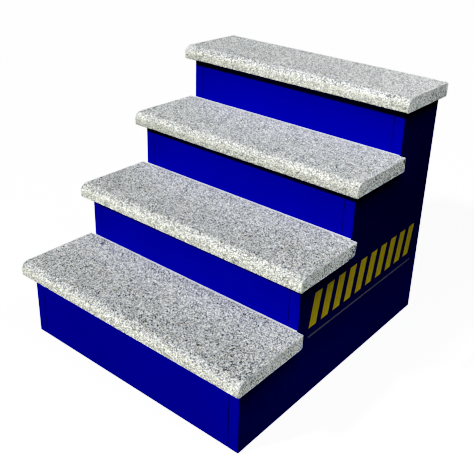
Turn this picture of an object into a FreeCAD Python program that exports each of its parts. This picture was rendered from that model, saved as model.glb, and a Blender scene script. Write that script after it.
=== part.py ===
"""Four-step mounting block: granite treads on a closed, stepped, painted base.

The base is a welded square-tube frame clad with flat panels and L-shaped corner trims.
Each tread is one granite slab, bedded on strips and bolted to the frame from below.
Frame of the part: +X to the rider's right when facing the steps, +Y towards the back,
+Z up, origin on the floor under the middle of the outline.
"""

import FreeCAD, Part
import math
import os

# ---------------------------------------------------------------- driving dimensions, mm
STEPS = 4
BASE_WIDTH = 914.0          # over the outer faces of the two side panels
FIRST_TOP = 280.0           # top of the lowest tread above the floor
RISE = 205.0                # from one tread top to the next
RUN = 265.0                 # from one riser face to the next
LAST_RUN = 236.0            # from the top riser face to the rear face of the base

TREAD_THICKNESS = 50.0
NOSE = 36.0                 # tread overhang past the riser below it
END_OVERHANG = 22.0         # tread overhang past each side panel
REAR_OVERHANG = 10.0        # top tread overhang past the rear panel
BULLNOSE_RADIUS = 27.0      # large round from the tread's top into its front face
LOWER_ROUND = 7.0           # small round from the front face into the underside
ARRIS = 1.2                 # bevel on the sawn ends

PANEL = 6.0                 # thickness of panels and corner trims
TRIM_LEG = 38.0             # width of each leg of a corner trim
TRIM_CORNER_RADIUS = 4.0
GROOVE = 1.2                # open joint between a trim and the panel beside it
EDGE_ROUND = 0.8            # small round on the outer edges of the cladding
GROUND_GAP = 3.0            # lower edge of the cladding above the floor
STONE_GAP = 1.0             # upper edge of the cladding below the stone

TUBE = 50.0                 # outside size of the square frame tube
TUBE_WALL = 3.0
TUBE_CORNER_RADIUS = 5.0
BEDDING = 3.0               # thickness of the strips between frame and stone
PAD_THICKNESS = 6.0
PAD_DIAMETER = 44.0

JOINT = 2.0                 # sealed gap between a tread's back edge and the next riser
JOINT_DEPTH = 10.0
BEAD = 2.0                  # the mastic's sloping face, up the riser and out over the stone

BOLT_X = 300.0              # bolts stand this far left and right of the middle
BOLT_DIAMETER = 10.0
BOLT_LENGTH = 80.0
BOLT_HOLE = 11.0
BOLT_FLANGE_DIAMETER = 21.0
BOLT_FLANGE = 2.0
BOLT_HEAD = 7.0
BOLT_ACROSS_FLATS = 15.0
INSERT_DIAMETER = 14.0
INSERT_LENGTH = 28.0
INSERT_HOLE_DEPTH = 32.0
THREAD_CLEARANCE = 0.05

SCREW_DIAMETER = 4.8
SCREW_LENGTH = 18.0
SCREW_HEAD_DIAMETER = 10.0
SCREW_HEAD = 3.0
SCREW_RECESS = 1.6
SCREW_HOLE = 5.4
SCREW_ROWS = 5
SCREW_COLUMNS = 3

DECAL = 0.4                 # thickness of the side marking
BAR_COUNT = 10
BAR_PITCH = 66.0
BAR_WIDTH = 42.0
BAR_HEIGHT = 118.0
BAR_SLANT = 24.0            # how far a bar's top leans back from its foot
BAR_BASE = 262.0            # foot of the bars above the floor
LINE_HEIGHT = 9.0
LINE_BASE = 226.0

# ---------------------------------------------------------------- derived positions
HALF_BASE = BASE_WIDTH / 2
HALF_TREAD = HALF_BASE + END_OVERHANG
BASE_DEPTH = (STEPS - 1) * RUN + LAST_RUN
FRONT = -(BASE_DEPTH + REAR_OVERHANG - NOSE) / 2     # face of the lowest riser
REAR = FRONT + BASE_DEPTH                            # face of the rear panel
POST_OUT = HALF_BASE - PANEL                         # outer and inner faces of the posts
POST_IN = POST_OUT - TUBE
PANEL_EDGE = TRIM_LEG + GROOVE                       # from a corner to the panel's edge
FRAME_FOOT = PAD_THICKNESS
FRAME_REAR = REAR - PANEL
BOLT_FROM_TUBE_EDGE = TUBE / 2
SIDES = {"left": -1, "right": 1}
UP = FreeCAD.Vector(0, 0, 1)


def riser_face(step):
    """Y of the face of a riser, or of the rear panel for the step past the last."""
    return FRONT + (step - 1) * RUN if step <= STEPS else REAR


def tread_top(step):
    """Z of a tread's top face, and of the floor for step 0."""
    return FIRST_TOP + (step - 1) * RISE if step > 0 else 0.0


def tread_under(step):
    return tread_top(step) - TREAD_THICKNESS


def frame_top(step):
    return tread_under(step) - BEDDING


def tread_back(step):
    return riser_face(step + 1) - JOINT if step < STEPS else REAR + REAR_OVERHANG


def cladding_foot(step):
    """Lower edge of the riser panel and corner trims of a step."""
    return GROUND_GAP if step == 1 else tread_under(step - 1) + STONE_GAP


# ---------------------------------------------------------------- small shape helpers
def box(x0, x1, y0, y1, z0, z1):
    return Part.makeBox(x1 - x0, y1 - y0, z1 - z0, FreeCAD.Vector(x0, y0, z0))


def vertical_cylinder(diameter, x, y, z0, z1):
    foot = FreeCAD.Vector(x, y, z0)
    return Part.makeCylinder(diameter / 2, z1 - z0, foot, UP)


def prism(points, direction):
    """Solid swept along a direction from a closed polygon of (x, y, z) points."""
    corners = [FreeCAD.Vector(*p) for p in points]
    wire = Part.makePolygon(corners + corners[:1])
    return Part.Face(wire).extrude(FreeCAD.Vector(*direction))


def edges_along(shape, axis):
    """Straight edges that run along one axis."""
    found = []
    for edge in shape.Edges:
        if edge.Curve.TypeId != "Part::GeomLine":
            continue
        way = edge.tangentAt(edge.FirstParameter)
        if abs(abs(way.dot(axis)) - 1) < 1e-6:
            found.append(edge)
    return found


def upright_edge(shape, x, y):
    """The vertical edge that stands over one point of the plan."""
    for edge in edges_along(shape, UP):
        centre = edge.CenterOfMass
        if math.hypot(centre.x - x, centre.y - y) < 1e-3:
            return edge
    raise ValueError("no vertical edge over %.1f, %.1f" % (x, y))


def save(name, solids):
    """Write one named piece, or a group of separate identical pieces."""
    solids = solids if isinstance(solids, list) else [solids]
    for solid in solids:
        if not solid.isValid() or solid.Volume <= 0:
            raise ValueError("bad solid in " + name)
    shape = solids[0] if len(solids) == 1 else Part.makeCompound(solids)
    shape.exportStep("parts/" + name + ".step")


# ---------------------------------------------------------------- stone
def bolt_positions(step):
    """Where the bolts of a tread stand: two on its nose rail, two on its back rail."""
    front = nose_rail_start(step) + BOLT_FROM_TUBE_EDGE
    back = back_rail_start(step) + BOLT_FROM_TUBE_EDGE
    return [(x, y) for y in (front, back) for x in (-BOLT_X, BOLT_X)]


def tread(step):
    """Granite slab with a bullnose front edge, bevelled sawn ends and blind bolt holes."""
    front = riser_face(step) - NOSE
    back = tread_back(step)
    under = tread_under(step)
    top = tread_top(step)
    x = -HALF_TREAD
    big = BULLNOSE_RADIUS
    small = LOWER_ROUND
    cos45 = math.sqrt(0.5)

    def point(y, z):
        return FreeCAD.Vector(x, y, z)

    nose_arc = Part.Arc(
        point(front + big, top),
        point(front + big * (1 - cos45), top - big * (1 - cos45)),
        point(front, top - big),
    )
    lower_arc = Part.Arc(
        point(front, under + small),
        point(front + small * (1 - cos45), under + small * (1 - cos45)),
        point(front + small, under),
    )
    outline = [
        Part.LineSegment(point(back, under), point(back, top)),
        Part.LineSegment(point(back, top), point(front + big, top)),
        nose_arc,
        Part.LineSegment(point(front, top - big), point(front, under + small)),
        lower_arc,
        Part.LineSegment(point(front + small, under), point(back, under)),
    ]
    wire = Part.Wire([piece.toShape() for piece in outline])
    slab = Part.Face(wire).extrude(FreeCAD.Vector(2 * HALF_TREAD, 0, 0))
    end_edges = []
    for edge in slab.Edges:
        centre = edge.CenterOfMass
        if abs(abs(centre.x) - HALF_TREAD) < 1e-6:
            end_edges.append(edge)
    slab = slab.makeChamfer(ARRIS, end_edges)
    for bolt_x, bolt_y in bolt_positions(step):
        hole = vertical_cylinder(
            INSERT_DIAMETER, bolt_x, bolt_y, under - 1, under + INSERT_HOLE_DEPTH
        )
        slab = slab.cut(hole)
    return slab


def sealant_bead(step):
    """Mastic between a tread's back edge and the riser behind it, finished with a fillet."""
    top = tread_top(step)
    back = tread_back(step)
    riser = riser_face(step + 1)
    end = HALF_BASE - TRIM_CORNER_RADIUS
    section = [
        (back, top - JOINT_DEPTH),
        (riser, top - JOINT_DEPTH),
        (riser, top + BEAD),
        (riser - BEAD, top),
        (back, top),
    ]
    return prism([(-end, y, z) for y, z in section], (2 * end, 0, 0))


# ---------------------------------------------------------------- cladding
def rounded_edges(shape, on_face):
    """Round the edges of the outer face, where on_face(point) is true for a whole edge."""
    outer = []
    for edge in shape.Edges:
        ends = [vertex.Point for vertex in edge.Vertexes]
        if all(on_face(point) for point in ends):
            outer.append(edge)
    return shape.makeFillet(EDGE_ROUND, outer)


def riser_panel(step):
    edge = HALF_BASE - PANEL_EDGE
    face = riser_face(step)
    foot = cladding_foot(step)
    panel = box(-edge, edge, face, face + PANEL, foot, tread_under(step) - STONE_GAP)
    return rounded_edges(panel, lambda point: abs(point.y - face) < 1e-6)


def side_panel(side):
    """Stepped plate that fills one side inside the corner trims."""
    start = riser_face(1) + PANEL_EDGE
    end = REAR - PANEL_EDGE
    profile = [(start, GROUND_GAP)]
    for step in range(1, STEPS + 1):
        top = tread_under(step) - STONE_GAP
        profile.append((riser_face(step) + PANEL_EDGE, top))
        if step < STEPS:
            profile.append((riser_face(step + 1) + PANEL_EDGE, top))
    profile.append((end, tread_under(STEPS) - STONE_GAP))
    profile.append((end, GROUND_GAP))
    inner = side * (HALF_BASE - PANEL)
    panel = prism([(inner, y, z) for y, z in profile], (side * PANEL, 0, 0))
    return rounded_edges(panel, lambda point: abs(abs(point.x) - HALF_BASE) < 1e-6)


def rear_panel():
    edge = HALF_BASE - PANEL_EDGE
    panel = box(-edge, edge, REAR - PANEL, REAR, GROUND_GAP, tread_under(STEPS) - STONE_GAP)
    panel = rounded_edges(panel, lambda point: abs(point.y - REAR) < 1e-6)
    for x, z in screw_positions():
        panel = panel.cut(rear_hole(SCREW_HOLE, x, z, REAR - PANEL - 1, REAR + 1))
    return panel


def corner_trim(side, face, inward, z0, z1):
    """L-section with a rounded outer corner; inward is +1 or -1 along Y from the face."""
    out = side * HALF_BASE
    leg = side * TRIM_LEG
    skin = side * PANEL
    section = [
        (out, face),
        (out - leg, face),
        (out - leg, face + inward * PANEL),
        (out - skin, face + inward * PANEL),
        (out - skin, face + inward * TRIM_LEG),
        (out, face + inward * TRIM_LEG),
    ]
    trim = prism([(x, y, z0) for x, y in section], (0, 0, z1 - z0))
    leg_ends = [
        upright_edge(trim, out - leg, face),
        upright_edge(trim, out, face + inward * TRIM_LEG),
    ]
    trim = trim.makeFillet(EDGE_ROUND, leg_ends)
    return trim.makeFillet(TRIM_CORNER_RADIUS, [upright_edge(trim, out, face)])


# ---------------------------------------------------------------- frame
def tube(x0, x1, y0, y1, z0, z1):
    """Square tube that fills the given box and is open at the ends of its longest side."""
    spans = (x1 - x0, y1 - y0, z1 - z0)
    along = spans.index(max(spans))
    axis = FreeCAD.Vector(*[1.0 if i == along else 0.0 for i in range(3)])
    low = [x0, y0, z0]
    high = [x1, y1, z1]
    outer = box(x0, x1, y0, y1, z0, z1)
    outer = outer.makeFillet(TUBE_CORNER_RADIUS, edges_along(outer, axis))
    for i in range(3):
        reach = -1.0 if i == along else TUBE_WALL
        low[i] += reach
        high[i] -= reach
    inner = box(low[0], high[0], low[1], high[1], low[2], high[2])
    inner = inner.makeFillet(TUBE_CORNER_RADIUS - TUBE_WALL, edges_along(inner, axis))
    return outer.cut(inner)


def post_start(step):
    return riser_face(step) + PANEL if step <= STEPS else FRAME_REAR - TUBE


def nose_rail_start(step):
    return post_start(step)


def back_rail_start(step):
    return riser_face(step + 1) + PANEL - TUBE if step < STEPS else FRAME_REAR - TUBE


def base_side_rail(side):
    x0, x1 = sorted((side * POST_IN, side * POST_OUT))
    return tube(x0, x1, post_start(1), FRAME_REAR, FRAME_FOOT, FRAME_FOOT + TUBE)


def base_cross_rail(start):
    return tube(-POST_IN, POST_IN, start, start + TUBE, FRAME_FOOT, FRAME_FOOT + TUBE)


def post(side, step):
    """Upright on the base rail; the bearer of its step lies across its top."""
    x0, x1 = sorted((side * POST_IN, side * POST_OUT))
    start = post_start(step)
    top = frame_top(min(step, STEPS)) - TUBE
    return tube(x0, x1, start, start + TUBE, FRAME_FOOT + TUBE, top)


def tread_bearer(side, step):
    """Tube under one end of a tread, from its own post to the face of the next one."""
    x0, x1 = sorted((side * POST_IN, side * POST_OUT))
    end = post_start(step + 1) if step < STEPS else FRAME_REAR
    return tube(x0, x1, post_start(step), end, frame_top(step) - TUBE, frame_top(step))


def cross_rail(step, start):
    """Tube across the block under a tread, drilled for its two bolts."""
    top = frame_top(step)
    rail = tube(-POST_IN, POST_IN, start, start + TUBE, top - TUBE, top)
    for x in (-BOLT_X, BOLT_X):
        y = start + BOLT_FROM_TUBE_EDGE
        rail = rail.cut(vertical_cylinder(BOLT_HOLE, x, y, top - TUBE - 1, top + 1))
    return rail


def bedding_strips(step):
    """Four strips between the frame and the stone, holed where the bolts pass."""
    margin = TUBE_CORNER_RADIUS
    under = tread_under(step)
    top = frame_top(step)
    nose = nose_rail_start(step)
    back = back_rail_start(step)
    back_limit = min(back + TUBE - margin, tread_back(step) - margin)
    nose_strip = box(-POST_IN, POST_IN, nose + margin, nose + TUBE - margin, top, under)
    back_strip = box(-POST_IN, POST_IN, back + margin, back_limit, top, under)
    strips = [nose_strip, back_strip]
    for side in SIDES.values():
        x0, x1 = sorted((side * (POST_IN + margin), side * (POST_OUT - margin)))
        strips.append(box(x0, x1, nose + margin, back_limit, top, under))
    for x, y in bolt_positions(step):
        hole = vertical_cylinder(BOLT_HOLE, x, y, top - 1, under + 1)
        strips[:2] = [strip.cut(hole) for strip in strips[:2]]
    return strips


# ---------------------------------------------------------------- fasteners and feet
def tread_bolt(x, y, step):
    """Hexagon flange bolt, head down, shank up through the rail into the stone."""
    seat = frame_top(step) - TUBE
    flange_foot = seat - BOLT_FLANGE
    head_foot = flange_foot - BOLT_HEAD
    corner = BOLT_ACROSS_FLATS / math.sqrt(3)
    angles = [math.radians(60 * i) for i in range(6)]
    hexagon = [(x + corner * math.cos(a), y + corner * math.sin(a), head_foot) for a in angles]
    head = prism(hexagon, (0, 0, BOLT_HEAD))
    flange = vertical_cylinder(BOLT_FLANGE_DIAMETER, x, y, flange_foot, seat)
    shank = vertical_cylinder(BOLT_DIAMETER - 2 * THREAD_CLEARANCE, x, y, seat, seat + BOLT_LENGTH)
    return head.fuse([flange, shank]).removeSplitter()


def tread_insert(x, y, step):
    """Threaded sleeve glued into the stone."""
    under = tread_under(step)
    sleeve = vertical_cylinder(INSERT_DIAMETER, x, y, under, under + INSERT_LENGTH)
    return sleeve.cut(vertical_cylinder(BOLT_DIAMETER, x, y, under - 1, under + INSERT_LENGTH + 1))


def rear_hole(diameter, x, z, y0, y1):
    start = FreeCAD.Vector(x, y0, z)
    return Part.makeCylinder(diameter / 2, y1 - y0, start, FreeCAD.Vector(0, 1, 0))


def screw_positions():
    """Screws down both sides of the rear panel, and between them along top and bottom."""
    side_x = (HALF_BASE - PANEL_EDGE + POST_IN) / 2
    low = FRAME_FOOT + TUBE / 2
    high = frame_top(STEPS) - TUBE / 2
    found = []
    for row in range(SCREW_ROWS):
        z = low + (high - low) * row / (SCREW_ROWS - 1)
        found += [(-side_x, z), (side_x, z)]
    for column in range(1, SCREW_COLUMNS + 1):
        x = -side_x + 2 * side_x * column / (SCREW_COLUMNS + 1)
        found += [(x, low), (x, high)]
    return found


def rear_panel_screw(x, z):
    """Pan-head screw with a square recess, head outside the rear panel."""
    shank = rear_hole(SCREW_DIAMETER, x, z, REAR - SCREW_LENGTH, REAR)
    head = rear_hole(SCREW_HEAD_DIAMETER, x, z, REAR, REAR + SCREW_HEAD)
    rim = [edge for edge in head.Edges if abs(edge.CenterOfMass.y - REAR - SCREW_HEAD) < 1e-6]
    head = head.makeFillet(SCREW_HEAD * 0.45, rim)
    half = SCREW_DIAMETER / 3
    recess = box(x - half, x + half, REAR + SCREW_HEAD - SCREW_RECESS, REAR + SCREW_HEAD + 1,
                 z - half, z + half)
    return shank.fuse(head).removeSplitter().cut(recess)


def drilled_for_rear_screws(shape):
    for x, z in screw_positions():
        hole = rear_hole(SCREW_DIAMETER, x, z, REAR - SCREW_LENGTH - 1, REAR)
        shape = shape.cut(hole)
    return shape


def foot_pads():
    """Round pads under the four corners and along both base rails."""
    x = (POST_IN + POST_OUT) / 2
    front = post_start(1) + TUBE / 2
    back = FRAME_REAR - TUBE / 2
    pads = []
    for i in range(4):
        y = front + (back - front) * i / 3
        for side in SIDES.values():
            pad = vertical_cylinder(PAD_DIAMETER, side * x, y, 0.0, PAD_THICKNESS)
            pads.append(pad)
    return pads


# ---------------------------------------------------------------- side marking
def decal_start():
    bars_length = (BAR_COUNT - 1) * BAR_PITCH + BAR_WIDTH + BAR_SLANT
    room_front = riser_face(2) + PANEL_EDGE
    room_back = REAR - PANEL_EDGE
    return (room_front + room_back - bars_length) / 2, bars_length


def side_bars():
    start = decal_start()[0]
    bars = []
    for i in range(BAR_COUNT):
        foot = start + i * BAR_PITCH
        corners = [
            (HALF_BASE, foot, BAR_BASE),
            (HALF_BASE, foot + BAR_WIDTH, BAR_BASE),
            (HALF_BASE, foot + BAR_WIDTH + BAR_SLANT, BAR_BASE + BAR_HEIGHT),
            (HALF_BASE, foot + BAR_SLANT, BAR_BASE + BAR_HEIGHT),
        ]
        bars.append(prism(corners, (DECAL, 0, 0)))
    return bars


def side_line():
    start, length = decal_start()
    x0 = HALF_BASE
    return box(x0, x0 + DECAL, start, start + length, LINE_BASE, LINE_BASE + LINE_HEIGHT)


# ---------------------------------------------------------------- build
def build():
    os.makedirs("parts", exist_ok=True)
    steps = range(1, STEPS + 1)

    for step in steps:
        save("tread_%d" % step, tread(step))
        save("riser_panel_%d" % step, riser_panel(step))
        save("nose_rail_%d" % step, cross_rail(step, nose_rail_start(step)))
        back_rail = cross_rail(step, back_rail_start(step))
        if step == STEPS:
            back_rail = drilled_for_rear_screws(back_rail)
        save("back_rail_%d" % step, back_rail)

    for name, side in SIDES.items():
        save("side_panel_" + name, side_panel(side))
        save("base_rail_" + name, drilled_for_rear_screws(base_side_rail(side)))
        rear_trim = corner_trim(side, REAR, -1, GROUND_GAP, tread_under(STEPS) - STONE_GAP)
        save("rear_corner_trim_" + name, rear_trim)
        save("rear_post_" + name, drilled_for_rear_screws(post(side, STEPS + 1)))
        for step in steps:
            z0 = cladding_foot(step)
            z1 = tread_under(step) - STONE_GAP
            trim = corner_trim(side, riser_face(step), 1, z0, z1)
            save("corner_trim_%d_%s" % (step, name), trim)
            save("post_%d_%s" % (step, name), post(side, step))
            bearer = tread_bearer(side, step)
            if step == STEPS:
                bearer = drilled_for_rear_screws(bearer)
            save("tread_bearer_%d_%s" % (step, name), bearer)

    save("base_rail_front", base_cross_rail(post_start(1)))
    save("base_rail_rear", drilled_for_rear_screws(base_cross_rail(FRAME_REAR - TUBE)))
    save("rear_panel", rear_panel())
    save("rear_panel_screws", [rear_panel_screw(x, z) for x, z in screw_positions()])
    save("foot_pads", foot_pads())
    save("sealant_beads", [sealant_bead(step) for step in range(1, STEPS)])

    strips = []
    bolts = []
    inserts = []
    for step in steps:
        strips += bedding_strips(step)
        bolts += [tread_bolt(x, y, step) for x, y in bolt_positions(step)]
        inserts += [tread_insert(x, y, step) for x, y in bolt_positions(step)]
    save("bedding_strips", strips)
    save("tread_bolts", bolts)
    save("tread_inserts", inserts)

    save("side_bars_decal", side_bars())
    save("side_line_decal", side_line())


build()
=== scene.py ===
"""Looks of the four-step mounting block: stone, paint, trim, floor, light and camera.

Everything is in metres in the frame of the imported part: +X to the rider's right when facing
the steps, +Y towards the back, +Z up, floor at zero.
"""

import math

import bpy
import numpy as np
from mathutils import Matrix, Vector, noise


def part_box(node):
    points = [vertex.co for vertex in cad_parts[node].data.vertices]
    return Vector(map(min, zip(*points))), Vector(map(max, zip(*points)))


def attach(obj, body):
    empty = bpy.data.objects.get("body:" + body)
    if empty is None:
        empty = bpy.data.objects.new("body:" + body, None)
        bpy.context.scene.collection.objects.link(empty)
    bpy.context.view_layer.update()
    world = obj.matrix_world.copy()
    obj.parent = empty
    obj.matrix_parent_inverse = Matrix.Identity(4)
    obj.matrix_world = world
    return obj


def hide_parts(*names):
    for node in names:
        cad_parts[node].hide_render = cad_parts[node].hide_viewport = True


MM = 0.001

# ---------------------------------------------------------------- camera
EYE = Vector((1.42776, -1.72365, 1.52897))
TARGET = Vector((0.0, 0.16735, 0.45908))
ROLL = math.radians(2.726)
LENS = 54.58
SENSOR = 36.0
SHIFT = (-0.0570, -0.0950)
CLIP_START = 0.05
CLIP_END = 200.0

# ---------------------------------------------------------------- light
KEY_FROM = (-0.386, -0.690, 0.590)
KEY_STRENGTH = 1.45
KEY_SOFTNESS = 5.0
REAR_FROM = (-0.26, 0.96, -0.05)
REAR_STRENGTH = 0.90
LEFT_FROM = (-0.95, 0.25, -0.10)
LEFT_STRENGTH = 0.12
FILL_SOFTNESS = 20.0
TOP_BOX_AT = (1.16, -0.35, 2.42)
TOP_BOX_AIM = (0.25, 0.05, 0.50)
TOP_BOX_SIZE = (1.4, 1.4)
TOP_BOX_WATTS = 38.0
STRIP_AT = (0.78, 0.05, 0.05)
STRIP_AIM = (0.0, 0.05, 0.05)
STRIP_SIZE = (2.0, 0.08)
STRIP_WATTS = 1.0
SKY = (0.95, 0.98, 1.0)
SKY_STRENGTH = 0.03
FLOOR_HALF = 30.0
FLOOR_GLOW = 0.93
FLOOR_ALBEDO = 0.06
BACKDROP_FOOT = -1.0        # the walls start below the floor
WHITE = (1.0, 1.0, 1.0, 1.0)
BLACK = (0.0, 0.0, 0.0, 1.0)

# ---------------------------------------------------------------- display curve
TOE_END = 0.25              # below this the curve sinks, for deep shadows
TOE_POWER = 2.4
TOE_SHARES = (0.2, 0.4, 0.6, 0.8, 1.0)
COMBINED_CURVE = 3          # the curve that acts on red, green and blue together

# ---------------------------------------------------------------- granite treads
TREADS = ("tread_1", "tread_2", "tread_3", "tread_4")
BULLNOSE = 27 * MM
LOWER_ROUND = 7 * MM
ARRIS = 1.2 * MM
EDGE_LOOP = 1.6 * MM
X_SPACING = 6.0 * MM
Y_SPACING = 4.5 * MM
Z_SPACING = 2.6 * MM
END_LOOPS = (4.4 * MM, 10.4 * MM)
REAR_LOOPS = (3.2 * MM, 4.8 * MM, 7.4 * MM, 9.8 * MM, 12.2 * MM, 14.6 * MM, 17.4 * MM, 21.8 * MM)
# Partly each slab's own tone, partly painted light set slab by slab against how the lamps fall.
STONE_AND_LIGHT_TONES = {                   # per slab: top front, top back, shoulder, nose, end
    "tread_1": (0.89, 1.12, 0.08, 0.99, 1.14),
    "tread_2": (0.89, 1.08, 0.22, 0.88, 1.26),
    "tread_3": (1.02, 1.14, 0.22, 0.61, 1.08),
    "tread_4": (1.06, 1.14, 0.04, 0.67, 1.02),
}
TONE_SLANT = 0.17           # per metre, paler towards the left
LIT_END_SAWN_SHARE = 0.5        # share of the sawn paleness, partly painted light, that the lit left end and the back get
CHIPS = {                   # end, lower or upper corner, mm along x, y and z, how dark its edge is, with dirt and painted shadow
    "tread_1": ((1, -1, (2.0, 7.0, 9.0), 0.0), (-1, -1, (6.0, 4.0, 14.0), 0.3)),
    "tread_2": ((1, -1, (4.5, 46.0, 42.0), 1.0), (-1, -1, (3.0, 3.0, 10.0), 0.2)),
    "tread_3": ((1, 1, (2.2, 20.0, 36.0), 0.9), (-1, -1, (9.0, 5.0, 18.0), 0.4)),
    "tread_4": ((1, -1, (2.5, 9.0, 9.0), 0.5), (-1, -1, (4.0, 5.0, 13.0), 0.2)),
}

# Degrees round the bullnose: end of the shoulder, start and end of the flank, then of the face.
NOSE_TURNS = (28, 45, 72, 64, 90)
NOSE_FLANK = 0.82           # share of the worked finish and painted light on the steep part of the bullnose
NOSE_FACE = 0.50            # what the upright face adds to it, painted light on the forward face
TONE_RISE = (0.3, 1.0)      # front to back, where a top turns paler: painted light against the shade by the riser
RIPPLE = (70, 0.24 * MM)    # large hollows left by flaming: noise scale and depth
PEBBLE = (150, 0.20 * MM)   # small ones
FAR_OUTSIDE = -50.0         # split value of points that no chip touches
CHIP_REACH = 1.6            # points up to this many chip depths from the corner are looked at
CHIP_UNEVEN = 0.16          # how far a break wanders, as a share of its depth
CHIP_NOISE = 130
FRESH_BREAK = (2.5, 6.0)    # mm inside a break's edge where the pale fresh stone sets in
FRESH_SHARE = 0.9
EDGE_CRUSH = (0.3 * EDGE_LOOP, 1.9 * EDGE_LOOP)     # from fully crushed and highlit to sound stone
REAR_CRUSH = (2.6 * MM, 6.4 * MM)
RIM_SHARE = 0.45            # the rim of a sawn end is crushed and highlit less than the rear edge

# ---------------------------------------------------------------- granite finish
MINERALS = (                        # lowest cell value of each mineral, and its colour
    (0.00, (0.014, 0.016, 0.018)),
    (0.13, (0.058, 0.063, 0.066)),
    (0.34, (0.145, 0.155, 0.160)),
    (0.52, (0.310, 0.326, 0.331)),
    (0.69, (0.720, 0.745, 0.746)),
    (0.97, (0.560, 0.480, 0.280)),
)
COARSE_CELLS = 415.0
FINE_CELLS = 780.0
CELL_WOBBLE = (210.0, 0.006)        # noise scale and reach in metres
# Where the fine cells show: noise scale, the values between which they come in, largest share.
FINE_PATCHES = (95.0, 0.44, 0.56, 0.22)
DRIFT = ((0.3, (0.93, 0.93, 0.93)), (0.7, (1.0, 1.0, 1.0)))
# Paler nose: partly its worked finish, partly painted light on its forward faces.
NOSE_FINISH_AND_LIGHT_GAIN = (1.75, 1.74, 1.52, 1.0)
# Paler sawn ends: partly their sawn finish, partly painted light on the shaded right end.
SAWN_FINISH_AND_LIGHT_GAIN = (2.35, 2.40, 2.38, 1.0)
# Share of an even colour laid over the stone, and that colour; on the nose and ends part of their painted
# light, on the arrises part of a painted highlight.
NOSE_FINISH_AND_LIGHT_WASH = (0.18, (0.62, 0.62, 0.56, 1.0))
SAWN_FINISH_AND_LIGHT_WASH = (0.42, (0.77, 0.78, 0.775, 1.0))
CRUSHED_AND_HIGHLIGHT = (0.75, (0.90, 0.92, 0.93, 1.0))
# Dark line along a break's edge: partly dirt, partly painted shadow of a broken lip the mesh lacks.
CRACK_AT = 1.2                      # mm inside a break's edge
CRACK_CORE = 1.2                    # mm to each side that are darkest
CRACK_FADE = 3.0
CRACK_SHADOW_DEPTH = 0.93
CRACK_AND_SHADOW_COLOUR = (0.05, 0.035, 0.03, 1.0)
STONE_GLOSS = 0.30

# ---------------------------------------------------------------- other finishes
PANEL_BLUE = (0.0008, 0.0010, 0.252)
# The trims' paint is a little paler than the panels': painted highlight of their rounded corners.
TRIM_BLUE_AND_HIGHLIGHT = (0.0008, 0.0010, 0.257)
PAINT_GLEAM = (0.35, 0.35, 1.0, 1.0)
DUST = (0.10, 0.10, 0.12, 1.0)
ALUMINIUM = (0.50, 0.51, 0.53)
STEEL = (0.55, 0.55, 0.56)
FOOT_BLACK = ((0.012, 0.012, 0.013), (0.03, 0.03, 0.032))
STRIP_BLACK = ((0.02, 0.02, 0.02), (0.05, 0.05, 0.05))
MASTIC_GREY = ((0.30, 0.31, 0.34), (0.40, 0.41, 0.45))
FILM_YELLOW = (0.62, 0.56, 0.10)
FILM_GREY = (0.26, 0.26, 0.30)


# ---------------------------------------------------------------- node helpers
def new_material(name):
    """A material with a Principled shader on its output."""
    material = bpy.data.materials.new(name)
    material.use_nodes = True
    tree = material.node_tree
    tree.nodes.clear()
    output = tree.nodes.new("ShaderNodeOutputMaterial")
    shader = tree.nodes.new("ShaderNodeBsdfPrincipled")
    tree.links.new(shader.outputs[0], output.inputs["Surface"])
    return material, tree, shader


def feed(tree, socket, value):
    """Link a socket to another one, or set its own value."""
    if isinstance(value, bpy.types.NodeSocket):
        tree.links.new(value, socket)
    else:
        socket.default_value = value


def add(tree, kind, sockets, **settings):
    node = tree.nodes.new("ShaderNode" + kind)
    for name, value in settings.items():
        setattr(node, name, value)
    for name, value in sockets.items():
        feed(tree, node.inputs[name], value)
    return node


def place(tree):
    """Position on the object in metres."""
    return tree.nodes.new("ShaderNodeTexCoord").outputs["Object"]


def layer(tree, name):
    """A value that the mesh carries at each of its points."""
    return add(tree, "Attribute", {}, attribute_name=name).outputs["Fac"]


def blend(tree, factor, first, second, blend_type="MIX"):
    node = tree.nodes.new("ShaderNodeMix")
    node.data_type = "RGBA"
    node.blend_type = blend_type
    feed(tree, node.inputs[0], factor)
    feed(tree, node.inputs[6], first)
    feed(tree, node.inputs[7], second)
    return node.outputs[2]


def calc(tree, operation, first, second=0.0, third=0.0):
    node = tree.nodes.new("ShaderNodeMath")
    node.operation = operation
    feed(tree, node.inputs[0], first)
    feed(tree, node.inputs[1], second)
    feed(tree, node.inputs[2], third)
    return node.outputs[0]


def spread(tree, value, low, high, to_low, to_high):
    """Carry a value from one range to another, clamped."""
    sockets = {"Value": value, "From Min": low, "From Max": high, "To Min": to_low, "To Max": to_high}
    return add(tree, "MapRange", sockets).outputs[0]


def ramp(tree, factor, stops, interpolation="LINEAR"):
    node = tree.nodes.new("ShaderNodeValToRGB")
    node.color_ramp.interpolation = interpolation
    elements = node.color_ramp.elements
    while len(elements) < len(stops):
        elements.new(0.5)
    for element, (position, colour) in zip(elements, stops):
        element.position = position
        element.color = (*colour, 1.0)
    feed(tree, node.inputs[0], factor)
    return node.outputs[0]


def grain(tree, vector, scale, detail=2.0, roughness=0.5):
    """Noise value around 0.5."""
    sockets = {"Vector": vector, "Scale": scale, "Detail": detail, "Roughness": roughness}
    return add(tree, "TexNoise", sockets).outputs[0]


def relief(tree, shader, height, distance, strength=1.0):
    """Bump from a height; distance is in metres."""
    sockets = {"Height": height, "Distance": distance, "Strength": strength}
    bump = add(tree, "Bump", sockets)
    tree.links.new(bump.outputs[0], shader.inputs["Normal"])


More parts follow.
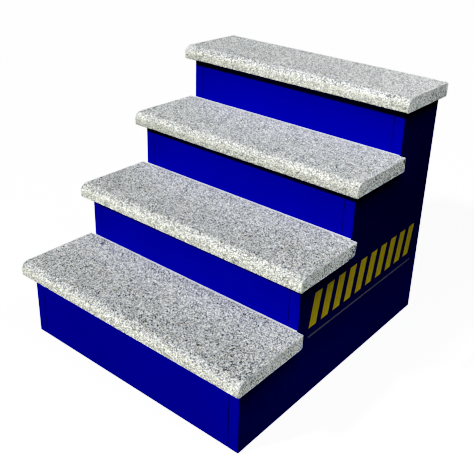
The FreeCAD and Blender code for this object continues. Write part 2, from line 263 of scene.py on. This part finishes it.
# ---------------------------------------------------------------- materials
def granite():
    """Salt-and-pepper granite: flamed on top, brighter on the worked nose and sawn ends, partly by finish,
    partly painted light.
    """
    material, tree, shader = new_material("granite_finish")
    here = place(tree)
    wobble_scale, wobble_reach = CELL_WOBBLE
    wobble = add(tree, "TexNoise", {"Vector": here, "Scale": wobble_scale, "Detail": 2.0})
    centred = {0: wobble.outputs["Color"], 1: (0.5, 0.5, 0.5)}
    shift = add(tree, "VectorMath", centred, operation="SUBTRACT")
    shift = add(tree, "VectorMath", {0: shift.outputs[0], "Scale": wobble_reach}, operation="SCALE")
    bent = add(tree, "VectorMath", {0: here, 1: shift.outputs[0]}, operation="ADD").outputs[0]
    coarse = add(tree, "TexVoronoi", {"Vector": bent, "Scale": COARSE_CELLS})
    fine = add(tree, "TexVoronoi", {"Vector": bent, "Scale": FINE_CELLS})
    coarse_value = add(tree, "SeparateColor", {0: coarse.outputs["Color"]}).outputs[0]
    fine_value = add(tree, "SeparateColor", {0: fine.outputs["Color"]}).outputs[0]
    big = ramp(tree, coarse_value, MINERALS, "CONSTANT")
    small = ramp(tree, fine_value, MINERALS, "CONSTANT")
    patch_scale, patch_low, patch_high, patch_share = FINE_PATCHES
    patches = grain(tree, here, patch_scale, 2.0)
    fine_share = spread(tree, patches, patch_low, patch_high, 0.0, patch_share)
    stone = blend(tree, fine_share, big, small)
    drift = grain(tree, here, 7.0, 3.0)
    tint = ramp(tree, drift, DRIFT)
    # Paleness per point: partly the slab's own tone, partly painted light and shade.
    tone_and_light = layer(tree, "tone_and_light")
    tint = add(tree, "VectorMath", {0: tint, "Scale": tone_and_light}, operation="SCALE").outputs[0]
    stone = blend(tree, 1.0, stone, tint, "MULTIPLY")
    nose = layer(tree, "nose")
    end = layer(tree, "end")
    # Nose painted paler: partly its worked finish, partly painted light.
    bright = blend(tree, 1.0, stone, NOSE_FINISH_AND_LIGHT_GAIN, "MULTIPLY")
    bright = blend(tree, NOSE_FINISH_AND_LIGHT_WASH[0], bright, NOSE_FINISH_AND_LIGHT_WASH[1])
    stone = blend(tree, nose, stone, bright)
    # Sawn ends painted paler: partly their sawn finish, partly painted light on the shaded right end.
    sawn = blend(tree, 1.0, stone, SAWN_FINISH_AND_LIGHT_GAIN, "MULTIPLY")
    sawn = blend(tree, SAWN_FINISH_AND_LIGHT_WASH[0], sawn, SAWN_FINISH_AND_LIGHT_WASH[1])
    stone = blend(tree, end, stone, sawn)
    # Pale arrises: partly crushed stone, partly painted highlight along the edges.
    arris = layer(tree, "arris")
    crushed_and_highlit = blend(tree, CRUSHED_AND_HIGHLIGHT[0], stone, CRUSHED_AND_HIGHLIGHT[1])
    stone = blend(tree, arris, stone, crushed_and_highlit)
    # Dark line along each break: partly dirt, partly painted shadow of the broken lip.
    split = layer(tree, "split")
    crack_and_shadow = layer(tree, "crack_and_shadow")
    off_line = calc(tree, "ABSOLUTE", calc(tree, "SUBTRACT", split, CRACK_AT))
    line = spread(tree, off_line, CRACK_CORE, CRACK_FADE, CRACK_SHADOW_DEPTH, 0.0)
    stone = blend(tree, calc(tree, "MULTIPLY", crack_and_shadow, line), stone, CRACK_AND_SHADOW_COLOUR)
    tree.links.new(stone, shader.inputs["Base Color"])
    tree.links.new(spread(tree, coarse_value, 0.0, 1.0, 0.50, 0.72), shader.inputs["Roughness"])
    shader.inputs["Specular IOR Level"].default_value = STONE_GLOSS
    pits = grain(tree, here, 420.0, 4.0, 0.65)
    height = calc(tree, "ADD", calc(tree, "MULTIPLY", coarse_value, 0.35), pits)
    relief(tree, shader, height, 0.0007, 0.55)
    return material


def blue_paint(name, base, speckle):
    """Gloss powder coat: faint orange peel, a few fine scuffs and a little dust at the foot."""
    material, tree, shader = new_material(name)
    here = place(tree)
    # Cloudy unevenness in the colour: partly an uneven coat, partly painted reflection of the gloss.
    cloud = grain(tree, here, 3.0, 3.0)
    deep = tuple(c * 0.95 for c in base)
    pale = tuple(c * 1.04 for c in base)
    colour = ramp(tree, cloud, [(0.3, deep), (0.7, pale)])
    stretched = add(tree, "Mapping", {"Vector": here, "Scale": (14.0, 14.0, 1.2)}).outputs[0]
    scuff = grain(tree, stretched, 9.0, 6.0, 0.7)
    scuffs = spread(tree, scuff, 0.66, 0.74, 0.0, 0.10)
    height_over_floor = add(tree, "SeparateXYZ", {0: here}).outputs["Z"]
    foot = spread(tree, height_over_floor, 0.0, 0.06, 0.05, 0.0)
    dust = calc(tree, "MULTIPLY", foot, grain(tree, here, 60.0, 4.0))
    scuffed = tuple(min(1.0, c * 1.25 + 0.004) for c in base)
    colour = blend(tree, scuffs, colour, (*scuffed, 1.0))
    colour = blend(tree, dust, colour, DUST)
    tree.links.new(colour, shader.inputs["Base Color"])
    sheen = spread(tree, cloud, 0.3, 0.7, 0.30, 0.38)
    rough = calc(tree, "ADD", sheen, calc(tree, "MULTIPLY", scuffs, 1.2))
    tree.links.new(rough, shader.inputs["Roughness"])
    shader.inputs["Specular IOR Level"].default_value = 0.22
    shader.inputs["Specular Tint"].default_value = PAINT_GLEAM
    relief(tree, shader, grain(tree, here, speckle, 2.0), 0.0002, 0.20)
    return material


def metal(name, base, low, high):
    """Bare metal with mill streaks, duller and brighter along them; low and high are roughness."""
    material, tree, shader = new_material(name)
    here = place(tree)
    streaks = add(tree, "Mapping", {"Vector": here, "Scale": (60.0, 4.0, 60.0)}).outputs[0]
    lines = grain(tree, streaks, 12.0, 4.0)
    dark = tuple(c * 0.86 for c in base)
    tree.links.new(ramp(tree, lines, [(0.3, dark), (0.7, base)]), shader.inputs["Base Color"])
    tree.links.new(spread(tree, lines, 0.3, 0.7, low, high), shader.inputs["Roughness"])
    shader.inputs["Metallic"].default_value = 1.0
    relief(tree, shader, lines, 0.0001, 0.3)
    return material


def matt(name, dark, light, scale, rough, bump):
    """Rubber and mastic: dull, slightly mottled, fine skin texture."""
    material, tree, shader = new_material(name)
    here = place(tree)
    mottle = grain(tree, here, scale, 4.0)
    tree.links.new(ramp(tree, mottle, [(0.3, dark), (0.7, light)]), shader.inputs["Base Color"])
    tree.links.new(spread(tree, mottle, 0.3, 0.7, rough, rough + 0.1), shader.inputs["Roughness"])
    shader.inputs["Specular IOR Level"].default_value = 0.3
    relief(tree, shader, grain(tree, here, scale * 6, 3.0), bump, 0.4)
    return material


def vinyl(name, base):
    """Cut adhesive film: even colour with a faint ripple and worn flecks."""
    material, tree, shader = new_material(name)
    here = place(tree)
    wear = grain(tree, here, 140.0, 5.0, 0.7)
    worn = tuple(c * 0.72 for c in base)
    tree.links.new(ramp(tree, wear, [(0.28, worn), (0.40, base)]), shader.inputs["Base Color"])
    tree.links.new(spread(tree, wear, 0.3, 0.7, 0.42, 0.52), shader.inputs["Roughness"])
    shader.inputs["Specular IOR Level"].default_value = 0.25
    relief(tree, shader, grain(tree, here, 45.0, 2.0), 0.0002, 0.2)
    return material


# ---------------------------------------------------------------- treads
def places_between(low, high, spacing):
    """Grid lines from low to high, with one close to each edge."""
    inner = np.linspace(low + EDGE_LOOP, high - EDGE_LOOP, max(2, round((high - low) / spacing)))
    return [low, *inner.tolist(), high]


def box_surface(xs, ys, zs):
    """Points and quads over the six sides of a box with the given grid lines."""
    index = {}
    points = []
    quads = []

    def at(i, j, k):
        if (i, j, k) not in index:
            index[i, j, k] = len(points)
            points.append((xs[i], ys[j], zs[k]))
        return index[i, j, k]

    last_i = len(xs) - 1
    last_j = len(ys) - 1
    last_k = len(zs) - 1
    for i in range(last_i):
        for j in range(last_j):
            quads.append((at(i, j, 0), at(i, j + 1, 0), at(i + 1, j + 1, 0), at(i + 1, j, 0)))
            k = last_k
            quads.append((at(i, j, k), at(i + 1, j, k), at(i + 1, j + 1, k), at(i, j + 1, k)))
        for k in range(last_k):
            quads.append((at(i, 0, k), at(i + 1, 0, k), at(i + 1, 0, k + 1), at(i, 0, k + 1)))
            j = last_j
            quads.append((at(i, j, k), at(i, j, k + 1), at(i + 1, j, k + 1), at(i + 1, j, k)))
    for j in range(last_j):
        for k in range(last_k):
            quads.append((at(0, j, k), at(0, j, k + 1), at(0, j + 1, k + 1), at(0, j + 1, k)))
            i = last_i
            quads.append((at(i, j, k), at(i, j + 1, k), at(i, j + 1, k + 1), at(i, j, k + 1)))
    return np.array(points), quads


def round_corner(points, y_edge, z_edge, radius, y_sign, z_sign):
    """Carry a square corner of the section onto a quarter disc; signs point outwards."""
    p = (points[:, 1] - (y_edge - y_sign * radius)) * y_sign / radius
    q = (points[:, 2] - (z_edge - z_sign * radius)) * z_sign / radius
    inside = (p > 0) & (q > 0)
    new_p = p * np.sqrt(np.clip(1 - q * q / 2, 0, 1))
    new_q = q * np.sqrt(np.clip(1 - p * p / 2, 0, 1))
    points[inside, 1] = y_edge - y_sign * radius * (1 - new_p[inside])
    points[inside, 2] = z_edge - z_sign * radius * (1 - new_q[inside])


def eased(value, low, high):
    """Smooth step from 0 at low to 1 at high."""
    t = np.clip((value - low) / (high - low), 0, 1)
    return t * t * (3 - 2 * t)


def nose_shares(points, low, shoulder):
    """How much of the worked nose's brighter finish, and of the painted light on its forward faces, each
    point has.
    """
    turn = np.degrees(np.arcsin(np.clip((low.y + BULLNOSE - points[:, 1]) / BULLNOSE, 0, 1)))
    shoulder_end, flank_start, flank_end, face_start, face_end = NOSE_TURNS
    rising = (NOSE_FLANK - shoulder) * eased(turn, flank_start, flank_end)
    return shoulder * eased(turn, 0, shoulder_end) + rising + NOSE_FACE * eased(turn, face_start, face_end)


def tread_grid(low, high):
    """Grid lines along x, y and z, closer at the ends and near the rear edge."""
    xs = places_between(low.x, high.x, X_SPACING)
    for step in END_LOOPS:
        xs += [low.x + step, high.x - step]
    ys = places_between(low.y, high.y, Y_SPACING) + [high.y - step for step in REAR_LOOPS]
    return sorted(xs), sorted(ys), places_between(low.z, high.z, Z_SPACING)


def bevel_ends(points, flat, low, high, at_end):
    """Draw the rim of each sawn end in by the arris."""
    centre = (low + high) / 2
    rim = np.isclose(flat[:, 1], low.y) | np.isclose(flat[:, 1], high.y)
    rim |= np.isclose(flat[:, 2], low.z) | np.isclose(flat[:, 2], high.z)
    bevel = at_end & rim
    points[bevel, 1] += np.sign(centre.y - points[bevel, 1]) * ARRIS
    points[bevel, 2] += np.sign(centre.z - points[bevel, 2]) * ARRIS


def slab_tones_and_light(name, points, low, high, nose, at_end):
    """How pale each point's stone is: partly its own tone, partly painted light and shade."""
    front_tone_and_light, back_tone_and_light, _, nose_tone_and_light, end_tone_and_light = STONE_AND_LIGHT_TONES[name]
    depth = (points[:, 1] - low.y) / (high.y - low.y)
    tone_and_light = front_tone_and_light + (back_tone_and_light - front_tone_and_light) * eased(depth, *TONE_RISE)
    tone_and_light *= 1 - TONE_SLANT * points[:, 0]
    tone_and_light += (nose_tone_and_light - tone_and_light) * np.clip(nose, 0, 1)
    tone_and_light[at_end] = end_tone_and_light
    return tone_and_light


def make_tread(name, seed, material):
    """One slab with a bullnose, flamed skin, sawn ends and chipped rear corners."""
    low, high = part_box(name)
    points, quads = box_surface(*tread_grid(low, high))
    flat = points.copy()
    round_corner(points, low.y, high.z, BULLNOSE, -1, 1)
    round_corner(points, low.y, low.z, LOWER_ROUND, -1, -1)
    at_right = np.isclose(flat[:, 0], high.x)
    at_left = np.isclose(flat[:, 0], low.x)
    at_end = at_right | at_left
    at_back = np.isclose(flat[:, 1], high.y)
    bevel_ends(points, flat, low, high, at_end)
    mesh = bpy.data.meshes.new(name + "_stone")
    mesh.from_pydata(points.tolist(), [], quads)
    mesh.update()
    normals = np.array([v.normal for v in mesh.vertices])
    rough_flamed(points, normals, seed)
    split, crack_and_shadow = chip_corners(points, low, high, seed, CHIPS[name])
    points = np.clip(points, np.array(low), np.array(high))
    mesh.vertices.foreach_set("co", points.astype(np.float32).ravel())
    mesh.shade_smooth()
    mesh.update()
    shoulder = STONE_AND_LIGHT_TONES[name][2]
    nose = nose_shares(points, low, shoulder)
    fresh = FRESH_SHARE * eased(split, *FRESH_BREAK)
    layers = {
        "nose": nose,
        # sawn paleness and painted light: all on the shaded right end, a share on the lit left end and
        # back
        "end": np.where(at_right, 1.0, LIT_END_SAWN_SHARE * (at_left | at_back)),
        "arris": np.maximum(bruised_and_highlit_edges(flat, low, high, at_end), fresh),
        "split": split,
        "crack_and_shadow": crack_and_shadow,
        "tone_and_light": slab_tones_and_light(name, points, low, high, nose, at_end),
    }
    for attribute, values in layers.items():
        stored = mesh.attributes.new(attribute, "FLOAT", "POINT")
        stored.data.foreach_set("value", values.astype(np.float32))
    mesh.materials.append(material)
    piece = bpy.data.objects.new(name + "_stone", mesh)
    bpy.context.scene.collection.objects.link(piece)
    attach(piece, "root")
    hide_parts(name)


def rough_flamed(points, normals, seed):
    """Push the skin inwards by the small hollows that flaming and splitting leave."""
    shift = Vector((seed * 3.1, seed * 1.7, seed * 5.3))
    for i in range(len(points)):
        p = Vector(points[i])
        ripple = noise.noise(p * RIPPLE[0] + shift)
        pebble = noise.noise(p * PEBBLE[0] + shift)
        depth = RIPPLE[1] * (0.5 + 0.5 * ripple) + PEBBLE[1] * (0.5 + 0.5 * pebble)
        points[i] -= normals[i] * depth


def chip_corners(points, low, high, seed, chips):
    """Split rear corners off along uneven planes.

    Returns for each point how far it lies inside the nearest break's edge, in millimetres
    along the surface, and how dark that edge is.
    """
    split = np.full(len(points), FAR_OUTSIDE)
    # How dark each break's edge is: partly dirt, partly painted shadow of the broken lip.
    crack_and_shadow = np.zeros(len(points))
    for side, up, reach, darkness in chips:
        corner = np.array((high.x if side > 0 else low.x, high.y, high.z if up > 0 else low.z))
        lean = np.array((side, 1, up)) / np.array(reach)
        size = np.linalg.norm(lean)
        outwards = lean / size
        spill = np.linalg.norm(outwards[1:])
        for i in np.nonzero((points - corner) @ outwards > -CHIP_REACH * MM / size)[0]:
            sample = Vector(points[i]) * CHIP_NOISE + Vector((seed * 2.3, up, side))
            uneven = CHIP_UNEVEN * noise.noise(sample)
            cut = (points[i] - corner) @ outwards / MM + (1 + uneven) / size
            if cut / spill > split[i]:
                split[i] = cut / spill
                crack_and_shadow[i] = darkness
            if cut > 0:
                points[i] -= outwards * cut * MM
    return split, crack_and_shadow


def bruised_and_highlit_edges(flat, low, high, at_end):
    """How crushed and pale each point is, partly crushed stone and partly painted highlight: the rear edge
    most, the sawn end's rim less.
    """
    behind = high.y - flat[:, 1]
    above = flat[:, 2] - low.z
    below = high.z - flat[:, 2]
    top_rear = (1 - eased(behind, *EDGE_CRUSH)) * (below < MM)
    end_rear = (1 - eased(behind, *REAR_CRUSH)) * at_end
    rim = 1 - eased(np.minimum(above, below), *EDGE_CRUSH)
    return np.maximum(np.maximum(top_rear, end_rear), RIM_SHARE * rim * at_end)


# ---------------------------------------------------------------- studio
def sun(name, from_direction, strength, softness):
    """A lamp far off in the given direction; strength 1 turns a white card facing it white."""
    lamp = bpy.data.lights.new(name, "SUN")
    lamp.energy = strength * math.pi
    lamp.angle = math.radians(softness)
    item = bpy.data.objects.new(name, lamp)
    item.rotation_euler = Vector(from_direction).to_track_quat("Z", "Y").to_euler()
    bpy.context.scene.collection.objects.link(item)


def soft_box(name, at, aim, size, watts):
    """A flat soft lamp, seen neither by the camera nor in reflections."""
    lamp = bpy.data.lights.new(name, "AREA")
    lamp.shape = "RECTANGLE"
    lamp.size, lamp.size_y = size
    lamp.energy = watts
    item = bpy.data.objects.new(name, lamp)
    item.location = at
    item.rotation_euler = (Vector(at) - Vector(aim)).to_track_quat("Z", "Y").to_euler()
    item.visible_camera = False
    item.visible_glossy = False
    bpy.context.scene.collection.objects.link(item)


def studio_lights():
    """A key sun, one from behind, a weak one from the left, two soft boxes and a dim sky."""
    sun("key", KEY_FROM, KEY_STRENGTH, KEY_SOFTNESS)
    sun("rear_rim", REAR_FROM, REAR_STRENGTH, FILL_SOFTNESS)
    sun("left_fill", LEFT_FROM, LEFT_STRENGTH, FILL_SOFTNESS)
    soft_box("top_box", TOP_BOX_AT, TOP_BOX_AIM, TOP_BOX_SIZE, TOP_BOX_WATTS)
    soft_box("strip", STRIP_AT, STRIP_AIM, STRIP_SIZE, STRIP_WATTS)
    world = bpy.data.worlds.new("studio")
    world.use_nodes = True
    background = world.node_tree.nodes["Background"]
    background.inputs["Color"].default_value = (*SKY, 1.0)
    background.inputs["Strength"].default_value = SKY_STRENGTH
    bpy.context.scene.world = world


def stage_mesh(name, points, faces, material):
    """A surface of the set, which sends no light onto the block."""
    mesh = bpy.data.meshes.new(name)
    mesh.from_pydata(points, [], faces)
    mesh.materials.append(material)
    item = bpy.data.objects.new(name, mesh)
    bpy.context.scene.collection.objects.link(item)
    item.visible_diffuse = False
    item.visible_glossy = False
    item.visible_shadow = False
    return item


def floor():
    """Pale floor: mostly its own glow, so that the block's shadow on it stays faint."""
    material, _, shader = new_material("floor")
    shader.inputs["Base Color"].default_value = (FLOOR_ALBEDO, FLOOR_ALBEDO, FLOOR_ALBEDO, 1.0)
    shader.inputs["Roughness"].default_value = 1.0
    shader.inputs["Specular IOR Level"].default_value = 0.0
    shader.inputs["Emission Color"].default_value = WHITE
    shader.inputs["Emission Strength"].default_value = FLOOR_GLOW
    half = FLOOR_HALF
    corners = [(-half, -half, 0), (half, -half, 0), (half, half, 0), (-half, half, 0)]
    stage_mesh("floor", corners, [(0, 1, 2, 3)], material)


def backdrop():
    """White walls and ceiling far behind the block, seen only by the camera."""
    material, _, shader = new_material("backdrop")
    shader.inputs["Base Color"].default_value = BLACK
    shader.inputs["Emission Color"].default_value = WHITE
    shader.inputs["Emission Strength"].default_value = 1.0
    half = FLOOR_HALF - 1
    corners = [(x, y, z) for z in (BACKDROP_FOOT, half) for y in (-half, half) for x in (-half, half)]
    faces = [(0, 1, 5, 4), (1, 3, 7, 5), (3, 2, 6, 7), (2, 0, 4, 6), (4, 5, 7, 6)]
    item = stage_mesh("backdrop", corners, faces, material)
    item.visible_transmission = False


def camera():
    """The camera, rolled a little about its line of sight."""
    forward = (TARGET - EYE).normalized()
    right = forward.cross(Vector((0, 0, 1))).normalized()
    up = right.cross(forward)
    x_axis = right * math.cos(ROLL) + up * math.sin(ROLL)
    y_axis = up * math.cos(ROLL) - right * math.sin(ROLL)
    data = bpy.data.cameras.new("camera")
    data.sensor_width = SENSOR
    data.lens = LENS
    data.shift_x = SHIFT[0]
    data.shift_y = SHIFT[1]
    data.clip_start = CLIP_START
    data.clip_end = CLIP_END
    item = bpy.data.objects.new("camera", data)
    rotation = Matrix((x_axis, y_axis, -forward)).transposed().to_4x4()
    item.matrix_world = Matrix.Translation(EYE) @ rotation
    bpy.context.scene.collection.objects.link(item)
    bpy.context.scene.camera = item


def display_curve():
    """Plain display transform with deep shadows."""
    settings = bpy.context.scene.view_settings
    settings.view_transform = "Standard"
    settings.look = "None"
    settings.use_curve_mapping = True
    curve = settings.curve_mapping.curves[COMBINED_CURVE]
    for share in TOE_SHARES:
        curve.points.new(TOE_END * share, TOE_END * share ** TOE_POWER)
    settings.curve_mapping.update()


# ---------------------------------------------------------------- assembly
def dress(nodes):
    """Give every CAD node that stays the material of its slot."""
    finishes = {
        "blue_panel": blue_paint("panel_paint", PANEL_BLUE, 900.0),
        "blue_trim": blue_paint("trim_paint", TRIM_BLUE_AND_HIGHLIGHT, 1100.0),
        "frame_tube": metal("mill_tube", ALUMINIUM, 0.45, 0.65),
        "fastener_steel": metal("steel", STEEL, 0.25, 0.40),
        "foot_rubber": matt("foot_pad_rubber", *FOOT_BLACK, 90.0, 0.7, 0.0003),
        "bedding_rubber": matt("strip_rubber", *STRIP_BLACK, 70.0, 0.75, 0.0003),
        "sealant": matt("mastic", *MASTIC_GREY, 60.0, 0.5, 0.0003),
        "yellow_vinyl": vinyl("yellow_film", FILM_YELLOW),
        "grey_vinyl": vinyl("grey_film", FILM_GREY),
    }
    for name, item in nodes.items():
        if name in TREADS:
            continue
        for place_in_list, packed in enumerate(item.data.materials):
            item.data.materials[place_in_list] = finishes[packed.name]


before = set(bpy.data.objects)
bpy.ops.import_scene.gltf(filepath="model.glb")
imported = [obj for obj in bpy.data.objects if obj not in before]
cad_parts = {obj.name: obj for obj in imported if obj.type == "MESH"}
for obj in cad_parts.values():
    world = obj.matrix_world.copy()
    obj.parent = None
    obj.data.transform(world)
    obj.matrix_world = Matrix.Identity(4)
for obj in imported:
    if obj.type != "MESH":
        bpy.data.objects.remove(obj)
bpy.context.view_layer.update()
camera()
studio_lights()
floor()
backdrop()
display_curve()
dress(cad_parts)
stone = granite()
for number, tread_name in enumerate(TREADS, 1):
    make_tread(tread_name, number, stone)
